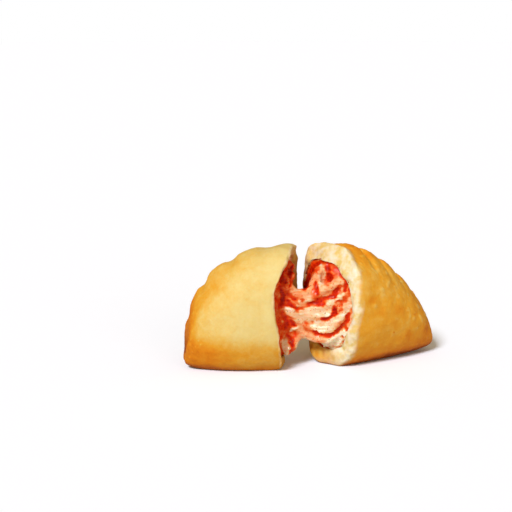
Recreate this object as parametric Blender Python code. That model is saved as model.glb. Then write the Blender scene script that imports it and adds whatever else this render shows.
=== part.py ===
"""A small fried panzerotto torn in two, its halves still joined by a sagging bridge of mozzarella and tomato.

It stands on its fold with the crimped, scalloped edge of the half-moon up. There are three solids: crust_left and
crust_right, each a hollow half of browned dough open at the tear, and filling, which runs through both halves.
Sizes are in millimetres. X runs along the piece, Y away from the shown side and Z up from the table, with the
origin at the middle of the base.
"""

import math

import bmesh
import bpy
import numpy as np
from mathutils import Vector

MM = 0.001

# Half of the piece's thickness, and its dough at the tips; each half gives its own dough elsewhere
HALF_THICKNESS = 17.5
TIP_WALL = 9.0
BLIND_END = 1.5

# The fold is pressed flat to this depth where it rests
FLAT_DEPTH = 0.9

# Crimped edge: how sharp its notches are and how wide across the ridge, and the dent that each makes in both faces,
# as a share of the width there
SCALLOP_SHARPNESS = 3.0
CREST_SPREAD = 0.55
CRIMP_DENT = 0.05
DENT_OFFSET = 0.55
DENT_SPREAD = 0.35

# Section shape, as powers of superellipses: a full top that narrows towards the tip, a narrower fold and a round tip
WIDEST_AT = 0.54
TOP_POWER = 2.7
TOP_NARROWING = 1.25
TIP_ROUNDNESS = 2.2

# Raggedness of the torn crumb and of the skin's edge
RIM_RAGGED = 0.5
EDGE_RAGGED = 0.35

# Room between filling and dough, and the shape of the filling at each mouth
GAP = 0.35
END_CLEARANCE = 1.2
MOUTH_BULGE = 2.0
BULGE_POWER = 3

# Mesh density
STATIONS = 42
AROUND = 30
LAST_TURN = 0.985
RIM_RINGS = 3
CAVITY_STATIONS = 11
LAST_CAVITY_TURN = 0.93
MOUTH_RINGS = 3
STRAND_STEPS = 5
STRAND_BEVEL_RESOLUTION = 2

GOLDEN = (0.72, 0.34, 0.06, 1.0)
PALE_GOLDEN = (0.84, 0.56, 0.18, 1.0)
CHEESE_AND_TOMATO = (0.80, 0.22, 0.13, 1.0)
CRUST_ROUGHNESS = 0.5
FILLING_ROUGHNESS = 0.3

UP = np.array([0.0, 0.0, 1.0])
ROUND = np.linspace(0.0, 2 * math.pi, AROUND, endpoint=False)
RIDGE = math.pi / 2


def front_to_back(front, back):
    """An amount all round the section that goes from one value at the front to another at the back."""
    return (front + back + (front - back) * np.cos(ROUND)) / 2


class Half:
    """One torn half: its long axis starts at the tear and ends at the tip, and its front faces the shown side.

    Wall, roof and floor are its dough's thickness. The tip is its height and how straight the base runs to it. Two
    amounts, at front and back, say how far the torn crumb swells and how far inside it the filling starts. The ridge
    sags at the tear. Scallops are their pitch, the distance of the first notch from the tear and the depth.
    """

    def __init__(self, name, colour, length, height, wall, roof, floor, tip, swell, sag, outline_power, fold_power,
                 heading, tear, lean, scallops, recess, skin_line, crumb_line, phase):
        self.name = name
        self.colour = colour
        self.length = length
        self.height = height
        self.wall = wall
        self.roof = roof
        self.floor = floor
        self.tip_height, self.base_power = tip
        self.swell = front_to_back(*swell)
        self.recess = front_to_back(*recess)
        self.sag = sag
        self.outline_power = outline_power
        self.fold_power = fold_power
        angle = math.radians(heading)
        self.axis = np.array([math.cos(angle), math.sin(angle), 0.0])
        self.front = math.copysign(1.0, math.cos(angle)) * np.array([math.sin(angle), -math.cos(angle), 0.0])
        self.tear = np.array([tear[0], tear[1], 0.0])
        self.lean = math.tan(math.radians(lean))
        self.pitch, self.first_notch, self.notch_depth = scallops
        self.skin_line = skin_line
        self.crumb_line = crumb_line
        self.phase = phase

    def place(self, along, across, up):
        """World points of local ones, with the section leaning back as it rises."""
        flat = np.multiply.outer(along, self.axis) + np.multiply.outer(across - self.lean * up, self.front)
        return self.tear + flat + np.multiply.outer(up, UP)

    def torn_edge(self, line):
        """How far along the axis a torn edge lies, all round the section."""
        ragged = np.sin(5 * ROUND + self.phase) + 0.7 * np.sin(9 * ROUND + 2.1 * self.phase)
        return smooth_round(line, ROUND) + EDGE_RAGGED * ragged


# Torn edges, as distances along the axis at every 30 degrees round the section: from the front over the ridge,
# the back and the fold. Above 0 the edge is torn back, below 0 it sticks out towards the other half.
LEFT = Half("crust_left", PALE_GOLDEN, length=44.2, height=53.0, wall=3.8, roof=5.8, floor=4.0, tip=(5.6, 6.0),
            swell=(0.3, 0.6), sag=1.0, outline_power=2.45, fold_power=2.3, heading=184.0, tear=(-11.15, -8.35),
            lean=8.0, scallops=(15.3, 11.0, 1.4), recess=(0.2, 1.5),
            skin_line=(5.7, 2.7, -1.3, -4.5, -6.1, -7.3, -7.5, -5.2, -0.1, 1.0, 2.2, 3.1),
            crumb_line=(6.7, 4.6, 1.0, -2.8, -4.2, -5.3, -5.4, -4.0, -0.1, 1.6, 3.6, 5.1), phase=0.4)
RIGHT = Half("crust_right", GOLDEN, length=53.5, height=53.9, wall=4.4, roof=8.5, floor=7.0, tip=(5.0, 4.0),
             swell=(1.1, 0.2), sag=0.6, outline_power=1.655, fold_power=1.95, heading=27.0, tear=(7.35, -6.85),
             lean=7.0, scallops=(11.1, 3.7, 3.1), recess=(0.2, 0.4),
             skin_line=(6.4, 8.2, 6.0, 4.8, -0.2, -0.7, -0.9, -3.1, -4.2, -0.7, 4.0, 5.6),
             crumb_line=(5.0, 3.8, 1.4, -1.0, -2.2, -3.0, -3.2, -3.2, -2.6, -0.3, 2.6, 4.2), phase=1.9)

# Strands of stretched cheese and ribbons of sauce, each by the points that it hangs through from the right half to
# the left one, with its radius where it hangs. Every strand has a root in the filling of both halves.
STRANDS = (
    (((4.0, -4.5, 42.0), (0.0, -7.0, 35.0), (-6.0, -8.5, 32.0), (-10.0, -9.0, 35.0), (-11.5, -9.0, 38.5)), 2.0),
    (((11.5, -10.0, 36.5), (6.0, -10.0, 35.0), (-3.0, -8.5, 30.0), (-10.5, -9.5, 33.0)), 2.0),
    (((11.0, -9.0, 34.0), (5.5, -8.5, 31.0), (-2.0, -7.0, 27.5), (-10.0, -8.5, 27.0)), 2.2),
    (((13.0, -11.0, 31.5), (7.0, -10.5, 28.5), (-2.0, -8.5, 26.0), (-11.0, -10.0, 30.5)), 1.9),
    (((13.0, -11.0, 27.5), (9.0, -10.5, 24.0), (-2.0, -8.5, 23.0), (-12.0, -10.5, 27.0)), 2.4),
    (((13.0, -11.0, 24.0), (7.0, -10.0, 17.0), (-3.0, -8.5, 18.5), (-12.0, -10.5, 24.5)), 2.5),
    (((12.5, -10.0, 21.5), (8.5, -9.5, 16.0), (2.0, -8.0, 14.5), (-6.0, -7.0, 18.0), (-12.0, -9.0, 18.0)), 2.0),
    (((11.5, -9.5, 17.0), (6.0, -10.0, 13.0), (-3.5, -8.5, 15.0), (-12.0, -10.5, 21.5)), 2.0),
    (((7.5, -4.5, 33.0), (0.0, -3.5, 28.0), (-6.0, -3.5, 27.0), (-11.5, -5.5, 30.0)), 3.6),
    (((7.5, -5.5, 24.0), (1.0, -4.5, 21.5), (-5.0, -4.5, 21.5), (-11.5, -6.5, 24.0)), 4.4),
    (((6.5, -5.5, 15.0), (1.0, -5.0, 16.0), (-5.0, -5.5, 17.0), (-11.5, -7.0, 15.0)), 3.2),
    (((-2.0, -7.5, 16.5), (-7.0, -8.5, 13.0), (-10.8, -10.4, 8.0), (-14.0, -8.5, 8.5)), 2.3),
)
STRAND_NECK = 0.85
STRAND_ROOT = 7.0
HEART_DEPTH = 14.0
HEART_HEIGHT = 24.0

# Lumps of tomato and curd that stand out of the torn filling: place and radius
LUMPS = (
    ((10.5, -10.5, 26.5), 3.0),
    ((9.0, -6.6, 40.5), 2.4),
    ((-11.0, -8.5, 19.5), 2.8),
    ((-12.0, -10.0, 35.5), 2.6),
    ((-11.2, -9.8, 8.4), 2.8),
    ((-9.6, -7.2, 39.6), 2.4),
    ((-9.8, -2.4, 42.6), 2.4),
)


def smooth_round(values, around):
    """A smooth periodic curve through values given at equal angles, starting at angle 0."""
    waves = np.fft.rfft(values) / len(values)
    total = np.full(np.shape(around), waves[0].real)
    for order in range(1, len(waves)):
        weight = 1.0 if 2 * order == len(values) else 2.0
        total = total + weight * (waves[order] * np.exp(1j * order * around)).real
    return total


def power(value, exponent):
    """Signed power, the building block of a superellipse."""
    return np.sign(value) * np.abs(value) ** exponent


def hump(around, centre, spread):
    return np.exp(-((around - centre) / spread) ** 2)


def outline(half, turn, inside):
    """Distance along, lowest and highest point of the skin, or of the cavity where inside is 1.

    The turn goes from 0 at the tear to a right angle at the tip.
    """
    length = half.length - inside * TIP_WALL
    low = inside * half.floor - (1 - inside) * FLAT_DEPTH
    high = half.height - inside * half.roof
    tip = half.tip_height + inside * half.floor / 2
    along = length * np.sin(turn) ** (2 / half.outline_power)
    top = tip + (high - tip) * np.cos(turn) ** (2 / half.outline_power)
    bottom = tip + (low - tip) * np.cos(turn) ** (2 / half.base_power)
    return along, bottom, top


def section(half, turn, inside):
    """One ring of the skin or the cavity, as local distances along, across and up."""
    along, bottom, top = outline(half, turn, inside)
    width = (HALF_THICKNESS - inside * half.wall) * np.cos(turn) ** (2 / TIP_ROUNDNESS)
    middle = bottom + WIDEST_AT * (top - bottom)
    upper = np.sin(ROUND) >= 0
    shape = np.where(upper, TOP_POWER - TOP_NARROWING * math.sqrt(math.sin(turn)), half.fold_power)
    reach = np.where(upper, top - middle, middle - bottom)
    return along, width * power(np.cos(ROUND), 2 / shape), middle + reach * power(np.sin(ROUND), 2 / shape)


def towards_tip(turn):
    """How much of the torn edge's unevenness is left at a turn."""
    return 1 - math.sin(turn) ** 0.8


def tip_point(half, inside, back):
    along, bottom, top = outline(half, RIDGE, inside)
    return half.place(np.array([along - back]), np.array([0.0]), np.array([(bottom + top) / 2]))[0]


def skin_rings(half):
    """Rings of the skin from the tear to the tip, with scallops along the ridge."""
    turns = np.linspace(0.0, LAST_TURN, STATIONS) * math.pi / 2
    ridge_along, _, ridge_up = outline(half, turns, 0)
    edge = np.concatenate([[0.0], np.cumsum(np.hypot(np.diff(ridge_along), np.diff(ridge_up)))])
    waves = 0.5 + 0.5 * np.cos(2 * math.pi * (edge - half.first_notch) / half.pitch)
    crest = hump(ROUND, RIDGE, CREST_SPREAD)
    flank = hump(np.abs(ROUND - RIDGE), DENT_OFFSET, DENT_SPREAD)
    rings = []
    for turn, notch in zip(turns, waves ** SCALLOP_SHARPNESS):
        along, across, up = section(half, turn, 0)
        along = along + towards_tip(turn) * half.torn_edge(half.skin_line)
        inward = half.notch_depth * notch * crest
        along = along - inward * math.sin(turn)
        up = up - inward * math.cos(turn) - half.sag * (1 - math.sin(turn)) * crest
        across = across * (1 - CRIMP_DENT * notch * flank)
        rings.append(half.place(along, across, np.maximum(up, 0.0)))
    return rings


def cavity_rings(half, gap):
    """Rings of the cavity, or of what fills it with a gap to the dough, from the tear to the blind end."""
    clearance = END_CLEARANCE if gap else 0.0
    rings = []
    for turn in np.linspace(0.0, LAST_CAVITY_TURN, CAVITY_STATIONS) * math.pi / 2:
        along, across, up = section(half, turn, 1)
        along = along + towards_tip(turn) * half.torn_edge(half.crumb_line) - clearance * math.sin(turn) ** 2
        middle = (up.max() + up.min()) / 2
        across = across * (1 - gap / across.max())
        up = middle + (up - middle) * (1 - gap / (up.max() - middle))
        rings.append(half.place(along, across, up))
    return rings


def rim_rings(half, skin, mouth):
    """Rings of torn crumb between the skin's edge and the cavity's mouth."""
    rings = []
    for step in range(1, RIM_RINGS + 1):
        share = step / (RIM_RINGS + 1)
        ragged = RIM_RAGGED * np.sin(7 * ROUND + 3 * share + half.phase)
        bulge = math.sin(math.pi * share) * (half.swell + ragged)
        rings.append(skin + share * (mouth - skin) - np.multiply.outer(bulge, half.axis))
    return rings


def closed_mesh(name, rings, start, end):
    """A closed mesh through rings of equal length, each end closed at a point."""
    count = len(rings[0])
    points = np.concatenate([[start]] + rings + [[end]])
    faces = [(0, 1 + (i + 1) % count, 1 + i) for i in range(count)]
    for base in range(1, 1 + (len(rings) - 1) * count, count):
        for i in range(count):
            j = (i + 1) % count
            faces.append((base + i, base + j, base + count + j, base + count + i))
    last = 1 + (len(rings) - 1) * count
    faces += [(last + i, last + (i + 1) % count, len(points) - 1) for i in range(count)]
    mesh = bpy.data.meshes.new(name)
    mesh.from_pydata([tuple(point * MM) for point in points], [], faces)
    face_outwards(mesh)
    return mesh


def face_outwards(mesh):
    work = bmesh.new()
    work.from_mesh(mesh)
    bmesh.ops.remove_doubles(work, verts=work.verts, dist=0.01 * MM)
    bmesh.ops.recalc_face_normals(work, faces=work.faces)
    if work.calc_volume(signed=True) < 0:
        bmesh.ops.reverse_faces(work, faces=work.faces)
    work.to_mesh(mesh)
    work.free()


def material(name, colour, roughness):
    made = bpy.data.materials.new(name)
    made.use_nodes = True
    shader = made.node_tree.nodes["Principled BSDF"]
    shader.inputs["Base Color"].default_value = colour
    shader.inputs["Roughness"].default_value = roughness
    shader.inputs["Metallic"].default_value = 0.0
    return made


def add_object(name, mesh, finish):
    thing = bpy.data.objects.new(name, mesh)
    bpy.context.scene.collection.objects.link(thing)
    mesh.materials.append(finish)
    mesh.shade_smooth()
    return thing


def evaluated_mesh(thing):
    bpy.context.view_layer.update()
    return bpy.data.meshes.new_from_object(thing.evaluated_get(bpy.context.evaluated_depsgraph_get()))


def crust(half):
    """Skin, torn rim and cavity of one half, in one closed body."""
    skin = skin_rings(half)
    cavity = cavity_rings(half, 0.0)
    rings = skin[::-1] + rim_rings(half, skin[0], cavity[0]) + cavity
    mesh = closed_mesh(half.name, rings, tip_point(half, 0, 0.0), tip_point(half, 1, BLIND_END))
    return add_object(half.name, mesh, material(half.name, half.colour, CRUST_ROUGHNESS))


def plug(half):
    """The filling of one half: it runs back to the blind end and bulges out a little at the mouth."""
    rings = cavity_rings(half, GAP)
    mouth = rings[0] + np.multiply.outer(half.recess, half.axis)
    middle = mouth.mean(axis=0)
    caps = []
    for step in range(1, MOUTH_RINGS + 1):
        share = step / (MOUTH_RINGS + 1)
        caps.append(middle + share * (mouth - middle) - MOUTH_BULGE * (1 - share ** BULGE_POWER) * half.axis)
    end = tip_point(half, 1, BLIND_END + END_CLEARANCE)
    return closed_mesh("plug", caps + [mouth] + rings[1:], middle - MOUTH_BULGE * half.axis, end)


def strand_root(point, half):
    """A point inside the half that a strand heads for."""
    heart = half.place(np.array([HEART_DEPTH]), np.array([0.0]), np.array([HEART_HEIGHT]))[0]
    return point + STRAND_ROOT * (heart - point) / np.linalg.norm(heart - point)


def strand(points, radius):
    """A smooth tube through the points, a little thinner where it leaves each half."""
    points = [np.array(point) for point in points]
    points = [strand_root(points[0], RIGHT)] + points + [strand_root(points[-1], LEFT)]
    shape = bpy.data.curves.new("strand", "CURVE")
    shape.dimensions = "3D"
    shape.resolution_u = STRAND_STEPS
    shape.bevel_depth = radius * MM
    shape.bevel_resolution = STRAND_BEVEL_RESOLUTION
    shape.use_fill_caps = True
    line = shape.splines.new("BEZIER")
    line.bezier_points.add(len(points) - 1)
    for index, (knot, point) in enumerate(zip(line.bezier_points, points)):
        knot.co = tuple(point * MM)
        knot.handle_left_type = knot.handle_right_type = "AUTO"
        knot.radius = STRAND_NECK if index in (1, len(points) - 2) else 1.0
    tube = bpy.data.objects.new("strand", shape)
    bpy.context.scene.collection.objects.link(tube)
    mesh = evaluated_mesh(tube)
    bpy.data.objects.remove(tube)
    face_outwards(mesh)
    return mesh


def lump(place, radius):
    mesh = bpy.data.meshes.new("lump")
    work = bmesh.new()
    bmesh.ops.create_icosphere(work, subdivisions=2, radius=radius * MM)
    bmesh.ops.translate(work, verts=work.verts, vec=Vector(place) * MM)
    work.to_mesh(mesh)
    work.free()
    return mesh


def keep_largest_body(mesh):
    """Fills the hollows that fusing seals and drops loose scraps."""
    work = bmesh.new()
    work.from_mesh(mesh)
    left = set(work.verts)
    bodies = []
    while left:
        body, front = set(), [left.pop()]
        while front:
            vertex = front.pop()
            body.add(vertex)
            beside = {edge.other_vert(vertex) for edge in vertex.link_edges} & left
            left -= beside
            front += beside
        bodies.append(body)
    largest = max(bodies, key=len)
    bmesh.ops.delete(work, geom=[v for v in work.verts if v not in largest], context="VERTS")
    work.to_mesh(mesh)
    work.free()


def filling():
    """Both plugs, the strands between them and the lumps, fused into one body."""
    pieces = bpy.data.collections.new("filling_pieces")
    bpy.context.scene.collection.children.link(pieces)
    meshes = [plug(RIGHT)] + [strand(points, radius) for points, radius in STRANDS]
    meshes += [lump(place, radius) for place, radius in LUMPS]
    for mesh in meshes:
        pieces.objects.link(bpy.data.objects.new("piece", mesh))
    body = add_object("filling", plug(LEFT), material("filling", CHEESE_AND_TOMATO, FILLING_ROUGHNESS))
    fuse = body.modifiers.new("fuse", "BOOLEAN")
    fuse.operation = "UNION"
    fuse.operand_type = "COLLECTION"
    fuse.collection = pieces
    fuse.solver = "EXACT"
    fused = evaluated_mesh(body)
    body.modifiers.clear()
    body.data = fused
    keep_largest_body(fused)
    for thing in list(pieces.objects):
        bpy.data.objects.remove(thing)
    bpy.data.collections.remove(pieces)
    return body


def clear_scene():
    for thing in list(bpy.data.objects):
        bpy.data.objects.remove(thing)


def main():
    clear_scene()
    crust(LEFT)
    crust(RIGHT)
    filling()


main()
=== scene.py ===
"""The torn panzerotto with its looks: fried dough, torn crumb, and melted mozzarella and tomato in between.

Sizes are in millimetres until a mesh is made, in the frame of the CAD model: X along the piece, Y away from
the shown side, Z up from the table. The halves repeat the CAD model's named sizes and add the fine surface.
"""

import math
import random

import bmesh
import bpy
import numpy as np
from mathutils import Matrix, Vector, noise


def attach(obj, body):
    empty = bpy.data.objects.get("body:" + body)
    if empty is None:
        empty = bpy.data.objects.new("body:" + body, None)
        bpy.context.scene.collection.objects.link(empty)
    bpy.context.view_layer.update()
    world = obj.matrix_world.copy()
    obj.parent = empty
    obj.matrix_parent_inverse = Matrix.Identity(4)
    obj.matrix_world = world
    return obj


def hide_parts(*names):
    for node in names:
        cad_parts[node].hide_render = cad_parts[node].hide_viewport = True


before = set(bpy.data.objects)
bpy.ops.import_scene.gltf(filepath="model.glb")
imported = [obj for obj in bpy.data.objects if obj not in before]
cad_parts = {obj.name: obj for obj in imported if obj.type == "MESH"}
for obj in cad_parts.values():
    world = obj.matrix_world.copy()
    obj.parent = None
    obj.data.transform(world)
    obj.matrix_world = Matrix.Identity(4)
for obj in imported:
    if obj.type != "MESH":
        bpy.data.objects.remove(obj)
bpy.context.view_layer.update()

MM = 0.001

# The camera looks down a little at the open side. The aim is a point in millimetres.
CAMERA_AIM = (-24.15, -15.35, 50.0)
CAMERA_PITCH = 12.0
CAMERA_DISTANCE = 474.1
CAMERA_LENS = 80.0
CAMERA_SENSOR = 36.0
CAMERA_NEAR = 10.0

# Distant lights: name, where they shine from, spread in degrees that softens shadows, strength and colour
SUNS = (
    ("key", (-0.38, -0.63, 0.7), 14.0, 2.65, (1.0, 1.01, 1.08)),
    ("fill", (0.42, -0.82, 0.3), 40.0, 0.38, (1.0, 0.95, 0.85)),
    ("sparkle", (-0.25, -0.7, 0.6), 2.5, 0.35, (1.0, 1.0, 1.0)),
)

# Even light from all round: its strength, how much of it glossy surfaces reflect, and its colour. The camera
# sees a white backdrop in its place.
SKY_STRENGTH = 0.36
REFLECTED_SKY = 0.12
SKY_COLOUR = (1.0, 0.77, 0.49, 1.0)
BACKDROP_COLOUR = (1.0, 1.0, 1.0, 1.0)

# Floor: its radius, the tone that throws light back at the dough and the tone that the camera sees
FLOOR_RADIUS = 6000.0
FLOOR_LIGHTING = (0.7, 0.66, 0.62, 1.0)
FLOOR_SEEN = (0.96, 1.025, 1.11, 1.0)

# Share of a colour seen on a screen that a surface takes: in general, for the skin of each half, and for the
# whitest cheese. The whitest is made brighter because it also carries the painted highlights on the filling
# and a band of cheese lifted out of its shade with painted light.
SURFACE_SHARE = 0.82
PALE_SKIN_SHARE = 0.8
GOLDEN_SKIN_SHARE = 0.9
WHITE_CHEESE_AND_HIGHLIGHT_SHARE = 0.97

# How far light goes into the dough and the filling
LIGHT_DEPTH = 3.0

# Dough, as in the CAD model
HALF_THICKNESS = 17.5
TIP_WALL = 9.0
BLIND_END = 1.5
FLAT_DEPTH = 0.9
SCALLOP_SHARPNESS = 3.0
CREST_SPREAD = 0.55
CRIMP_DENT = 0.05
DENT_OFFSET = 0.55
DENT_SPREAD = 0.35
WIDEST_AT = 0.54
TOP_POWER = 2.7
TOP_NARROWING = 1.25
TIP_ROUNDNESS = 2.2
RIM_RAGGED = 0.5
EDGE_RAGGED = 0.35

# Mesh density of the dough
SKIN_RINGS = 190
AROUND = 350
LAST_TURN = 0.997
RIM_RINGS = 26
CAVITY_RINGS = 14
LAST_CAVITY_TURN = 0.93

# Relief of the dough: how far the surface first sinks, then the height and size of each layer of unevenness.
# It fades out over a few rings at both ends of the mesh, and between the two heights of the table's touch.
SETTLE = 0.22
SKIN_RELIEF = ((0.28, 13.0), (0.14, 5.0), (0.06, 1.7))
CRUMB_RELIEF = ((0.3, 4.6), (0.16, 2.0), (0.07, 0.9))
FADE_RINGS = 6
TABLE_TOUCH = (0.05, 1.5)

# The torn edge is rounded off: how many times, and from how many rings before it
EDGE_ROUNDING = 60
EDGE_ROWS = 30

# Small blisters of the frying: their size, height and how much paler they are, a paleness that partly stands
# for painted highlights on them
BLISTER_SIZE = 2.3
BLISTER_HEIGHT = 0.22
BLISTER_PALENESS_AND_HIGHLIGHT = 0.16

# Plugs of filling in the halves: how far they reach into the dough, how far their edges sink so that the
# rim's relief covers them, how they bulge at the mouth, and how fine their meshes are
PLUG_OVERLAP = 0.5
EDGE_SINK = 0.5
MOUTH_BULGE = 2.0
BULGE_POWER = 3
PLUG_RINGS = 40
PLUG_STEP = 5
CAP_RINGS = 8

# How the filling's plugs, strands and lumps melt together, how far cheese stands above sauce, and the relief
MELT = 1.1
VOXEL = 0.42
SMOOTHING = 6
CHEESE_RISE = 0.9
FILLING_RELIEF = ((0.16, 2.6), (0.07, 1.1))

# Flecks of herb on the filling: how many, their radius and shape, how far along the piece they lie, and how
# squarely the filling has to face the shown side there
FLECK_COUNT = 44
FLECK_RADIUS = (0.12, 0.26)
FLECK_SHAPE = (1.5, 1.0, 0.5, 1.0)
FLECK_REACH = (-11.0, 15.0)
FLECK_FACING = 0.55
FLECK_SEED = 5

UP = np.array([0.0, 0.0, 1.0])
ROUND = np.linspace(0.0, 2 * math.pi, AROUND, endpoint=False)
RIDGE = math.pi / 2


def front_to_back(front, back):
    """An amount all round the section that goes from one value at the front to another at the back."""
    return (front + back + (front - back) * np.cos(ROUND)) / 2


class Half:
    """One torn half. Its long axis goes from the tear to the tip, and its front faces the shown side.

    Wall, roof and floor are its dough's thickness. The tip is its height and how straight the base runs to
    it. The swell and the recess, at front and back, say how far the torn crumb swells out and how far inside
    it the filling starts. The ridge sags at the tear. Scallops are their pitch, the distance of the first
    notch from the tear and the depth. The skin line and the crumb line are the outer and the inner torn edge,
    as distances along the axis. The crumb start says how far past the outer edge the crumb's pale colour
    starts, the crumb width how far it takes to settle, and the crumb darkening line how much darker and
    browner the crumb is. The lines and the crumb start have a value at every 30 degrees round the section:
    from the front over the ridge, the back and the fold.
    """

    def __init__(self, name, length, height, wall, roof, floor, tip, swell, sag, outline_power, fold_power,
                 heading, tear, lean, scallops, recess, skin_line, crumb_line, phase, crumb_start,
                 crumb_width, crumb_darkening_line):
        self.name = name
        self.length = length
        self.height = height
        self.wall = wall
        self.roof = roof
        self.floor = floor
        self.tip_height, self.base_power = tip
        self.swell = front_to_back(*swell)
        self.recess = front_to_back(*recess)
        self.sag = sag
        self.outline_power = outline_power
        self.fold_power = fold_power
        angle = math.radians(heading)
        self.axis = np.array([math.cos(angle), math.sin(angle), 0.0])
        self.front = math.copysign(1.0, math.cos(angle)) * np.array([math.sin(angle), -math.cos(angle), 0.0])
        self.tear = np.array([tear[0], tear[1], 0.0])
        self.lean = math.tan(math.radians(lean))
        self.pitch, self.first_notch, self.notch_depth = scallops
        self.skin_line = skin_line
        self.crumb_line = crumb_line
        self.phase = phase
        self.crumb_start = smooth_round(crumb_start, ROUND)
        self.crumb_width = crumb_width
        self.stain = np.clip(smooth_round(crumb_darkening_line, ROUND), 0.0, 1.0)

    def place(self, along, across, up):
        """World points of local ones, with the section leaning back as it rises."""
        flat = np.multiply.outer(along, self.axis) + np.multiply.outer(across - self.lean * up, self.front)
        return self.tear + flat + np.multiply.outer(up, UP)

    def torn_edge(self, line):
        """How far along the axis a torn edge lies, all round the section."""
        ragged = np.sin(5 * ROUND + self.phase) + 0.7 * np.sin(9 * ROUND + 2.1 * self.phase)
        return smooth_round(line, ROUND) + EDGE_RAGGED * ragged


def smooth_round(values, around):
    """A smooth periodic curve through values given at equal angles, starting at angle 0."""
    waves = np.fft.rfft(values) / len(values)
    total = np.full(np.shape(around), waves[0].real)
    for order in range(1, len(waves)):
        weight = 1.0 if 2 * order == len(values) else 2.0
        total = total + weight * (waves[order] * np.exp(1j * order * around)).real
    return total


LEFT = Half("crust_left", length=44.2, height=53.0, wall=3.8, roof=5.8, floor=4.0, tip=(5.6, 6.0),
            swell=(0.3, 0.6), sag=1.0, outline_power=2.45, fold_power=2.3, heading=184.0,
            tear=(-11.15, -8.35), lean=8.0, scallops=(15.3, 11.0, 1.4), recess=(0.2, 1.5),
            skin_line=(5.7, 2.7, -1.3, -4.5, -6.1, -7.3, -7.5, -5.2, -0.1, 1.0, 2.2, 3.1),
            crumb_line=(6.7, 4.6, 1.0, -2.8, -4.2, -5.3, -5.4, -4.0, -0.1, 1.6, 3.6, 5.1), phase=0.4,
            crumb_start=(-0.4,) * 12, crumb_width=0.9,
            crumb_darkening_line=(0.6, 0.5, 0.4, 0.5, 0.8, 0.9, 0.9, 0.9, 0.9, 0.9, 0.9, 0.8))
RIGHT = Half("crust_right", length=53.5, height=53.9, wall=4.4, roof=8.5, floor=7.0, tip=(5.0, 4.0),
             swell=(1.1, 0.2), sag=0.6, outline_power=1.655, fold_power=1.95, heading=27.0,
             tear=(7.35, -6.85), lean=7.0, scallops=(11.1, 3.7, 3.1), recess=(0.2, 0.4),
             skin_line=(6.4, 8.2, 6.0, 4.8, -0.2, -0.7, -0.9, -3.1, -4.2, -0.7, 4.0, 5.6),
             crumb_line=(5.0, 3.8, 1.4, -1.0, -2.2, -3.0, -3.2, -3.2, -2.6, -0.3, 2.6, 4.2), phase=1.9,
             crumb_start=(-2.6, -3.2, -4.2, -4.4, -3.4, -3.0, -3.0, -2.6, -2.2, -2.6, -3.4, -2.6),
             crumb_width=3.8, crumb_darkening_line=(0.0, 0.0, 0.1, 0.25, 0.45, 0.6, 0.7, 0.8, 1.0, 0.75, 0.0, 0.0))

# Marks of the frying on the skin: place, radius and how much browner the skin is there, then the place and
# radius of each pale blister, whose paleness partly stands for a painted highlight
BROWN_MARKS = (
    ((-40.6, -17.9, 36.7), 2.6, 0.16),
    ((-37.5, -18.6, 37.7), 1.8, 0.1),
    ((-27.9, -21.7, 33.1), 1.0, 0.06),
    ((-34.3, -9.4, 46.1), 3.5, 0.12),
    ((-46.4, -18.6, 31.8), 3.0, 0.1),
    ((35.5, -6.1, 14.3), 0.35, 0.6),
    ((24.9, -13.0, 29.6), 2.0, 0.12),
    ((29.0, -10.9, 24.3), 2.2, 0.12),
    ((37.9, -4.6, 23.9), 2.4, 0.14),
    ((43.1, -0.3, 11.5), 3.0, 0.14),
    ((51.6, 7.1, 11.7), 3.0, 0.16),
)
BLISTER_BUMPS_AND_HIGHLIGHTS = (
    ((25.7, -5.9, 44.9), 1.5),
    ((22.5, -6.8, 47.3), 0.9),
    ((31.2, -2.9, 42.1), 0.8),
    ((35.3, -1.2, 38.2), 1.0),
    ((34.1, -4.5, 36.3), 1.1),
    ((38.1, -0.5, 35.4), 1.2),
    ((37.0, -2.7, 34.1), 1.0),
    ((29.9, -8.9, 33.8), 1.2),
    ((29.9, -9.4, 31.8), 0.9),
    ((44.8, 0.6, 19.0), 0.9),
    ((26.7, -12.2, 27.7), 0.8),
    ((41.3, 0.3, 30.7), 0.8),
    ((-49.8, -18.8, 11.6), 0.4),
    ((-52.7, -16.4, 6.0), 0.4),
    ((-51.2, -17.9, 9.1), 0.4),
    ((-48.5, -19.6, 14.4), 0.4),
    ((-47.6, -19.9, 12.8), 0.4),
    ((-52.0, -17.2, 14.2), 0.4),
)

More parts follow.
